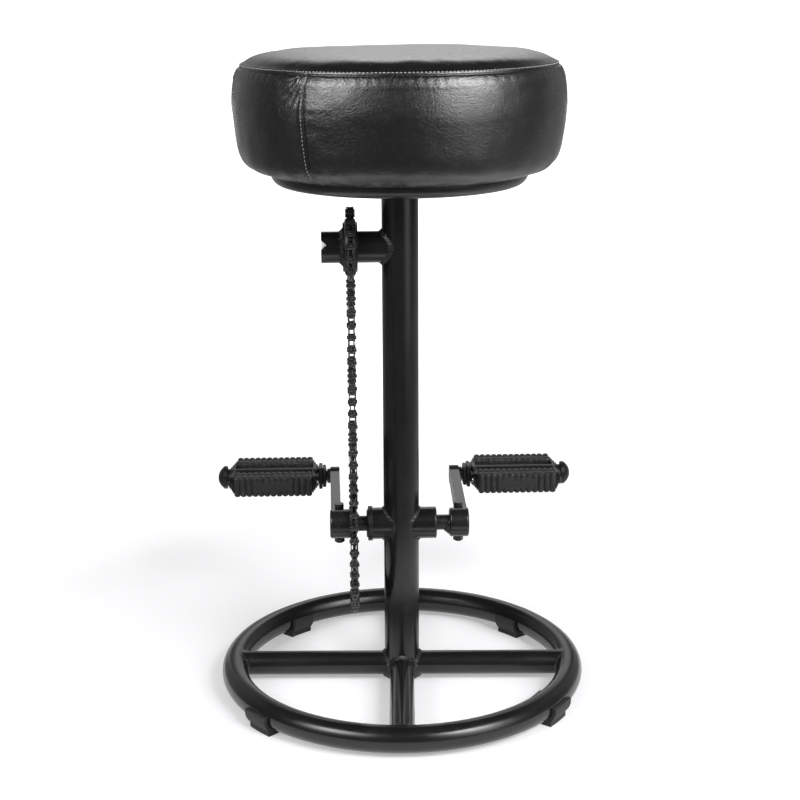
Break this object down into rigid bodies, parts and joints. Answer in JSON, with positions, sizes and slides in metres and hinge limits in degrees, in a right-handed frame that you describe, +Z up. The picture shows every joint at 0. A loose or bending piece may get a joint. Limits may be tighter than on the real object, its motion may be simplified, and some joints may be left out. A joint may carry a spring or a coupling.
{
  "type": "bar stool with bicycle pedals",
  "caption": "Round black leather bar stool on a tube post and ring base, with a bicycle crankset, chain and freewheel carrying two pedals as its footrest.",
  "frame": {"origin": "on the floor, under the centre of the post", "axes": "+Z up the post; the pedals reach towards +Y; the chain and the stub tube are on the -X side"},
  "size_m": [0.4036, 0.3976, 0.6647],
  "materials": {
    "black_steel": "satin black powder coat",
    "black_casting": "satin black paint over a forging",
    "dark_hardware": "black paint with bare edges",
    "chain_steel": "blackened and lightly oiled",
    "bright_steel": "bright",
    "black_leather": "glossy fine grain",
    "foam": "open foam",
    "plywood": "raw plywood",
    "dust_cloth": "felted",
    "floor_rubber": "matt",
    "pedal_rubber": "matt",
    "pedal_plastic": "moulded"
  },
  "bodies": {
    "stand": {"base_ring": "black_steel", "spoke_front": "black_steel", "spoke_back": "black_steel", "spoke_left": "black_steel", "spoke_right": "black_steel", "floor_pad_1": "floor_rubber", "floor_pad_2": "floor_rubber", "floor_pad_3": "floor_rubber", "floor_pad_4": "floor_rubber", "post": "black_steel", "weld_beads": "black_steel", "seat_pan": "black_steel", "seat_bolts": "dark_hardware", "seat_spacers": "bright_steel", "tee_nuts": "bright_steel", "dust_cloth": "dust_cloth", "seat_board": "plywood", "seat_foam": "foam", "cover_side_band": "black_leather", "cover_top_panel": "black_leather", "stub_tube": "black_steel", "freewheel_core": "dark_hardware", "freewheel_lock_plate": "dark_hardware", "freewheel_balls": "bright_steel", "freewheel_pawls": "dark_hardware", "bracket_shell": "black_steel", "fixed_cup": "dark_hardware", "adjustable_cup": "dark_hardware", "cup_lockring": "dark_hardware", "bracket_balls": "bright_steel", "chain_inner_links": "chain_steel", "chain_outer_links": "chain_steel", "chain_rollers": "chain_steel"},
    "crankset": {"bracket_axle": "dark_hardware", "chainring": "black_casting", "crank_left": "black_casting", "crank_right": "black_casting", "cotter_pin_left": "dark_hardware", "cotter_pin_right": "dark_hardware", "cotter_nuts": "dark_hardware", "pedal_spindle_left": "dark_hardware", "pedal_spindle_right": "dark_hardware"},
    "freewheel": {"freewheel_ring": "dark_hardware"},
    "pedal_left": {"pedal_barrel_left": "pedal_plastic", "pedal_balls_left": "bright_steel", "pedal_inner_plate_left": "pedal_plastic", "pedal_outer_plate_left": "pedal_plastic", "pedal_blocks_left": "pedal_rubber", "pedal_rods_left": "dark_hardware", "pedal_cap_left": "pedal_plastic"},
    "pedal_right": {"pedal_barrel_right": "pedal_plastic", "pedal_balls_right": "bright_steel", "pedal_inner_plate_right": "pedal_plastic", "pedal_outer_plate_right": "pedal_plastic", "pedal_blocks_right": "pedal_rubber", "pedal_rods_right": "dark_hardware", "pedal_cap_right": "pedal_plastic"}
  },
  "joints": [
    {"name": "crank_lift", "type": "hinge", "parent": "stand", "child": "crankset", "pos_m": [0, 0, 0.1775], "axis": [1, 0, 0], "range_deg": [0, 212.73], "deforming": ["chain_inner_links", "chain_outer_links", "chain_rollers"]},
    {"name": "freewheel_spin", "type": "hinge", "parent": "stand", "child": "freewheel", "pos_m": [-0.05, 0, 0.47123], "axis": [1, 0, 0], "range_deg": [-1, 522]},
    {"name": "pedal_left_spin", "type": "hinge", "parent": "crankset", "child": "pedal_left", "pos_m": [-0.14, 0.165, 0.1775], "axis": [1, 0, 0], "continuous": true},
    {"name": "pedal_right_spin", "type": "hinge", "parent": "crankset", "child": "pedal_right", "pos_m": [0.14, 0.165, 0.1775], "axis": [1, 0, 0], "continuous": true}
  ],
  "couplings": [
    {"joint": "freewheel_spin", "follows": "crank_lift", "ratio": 2.4444}
  ]
}
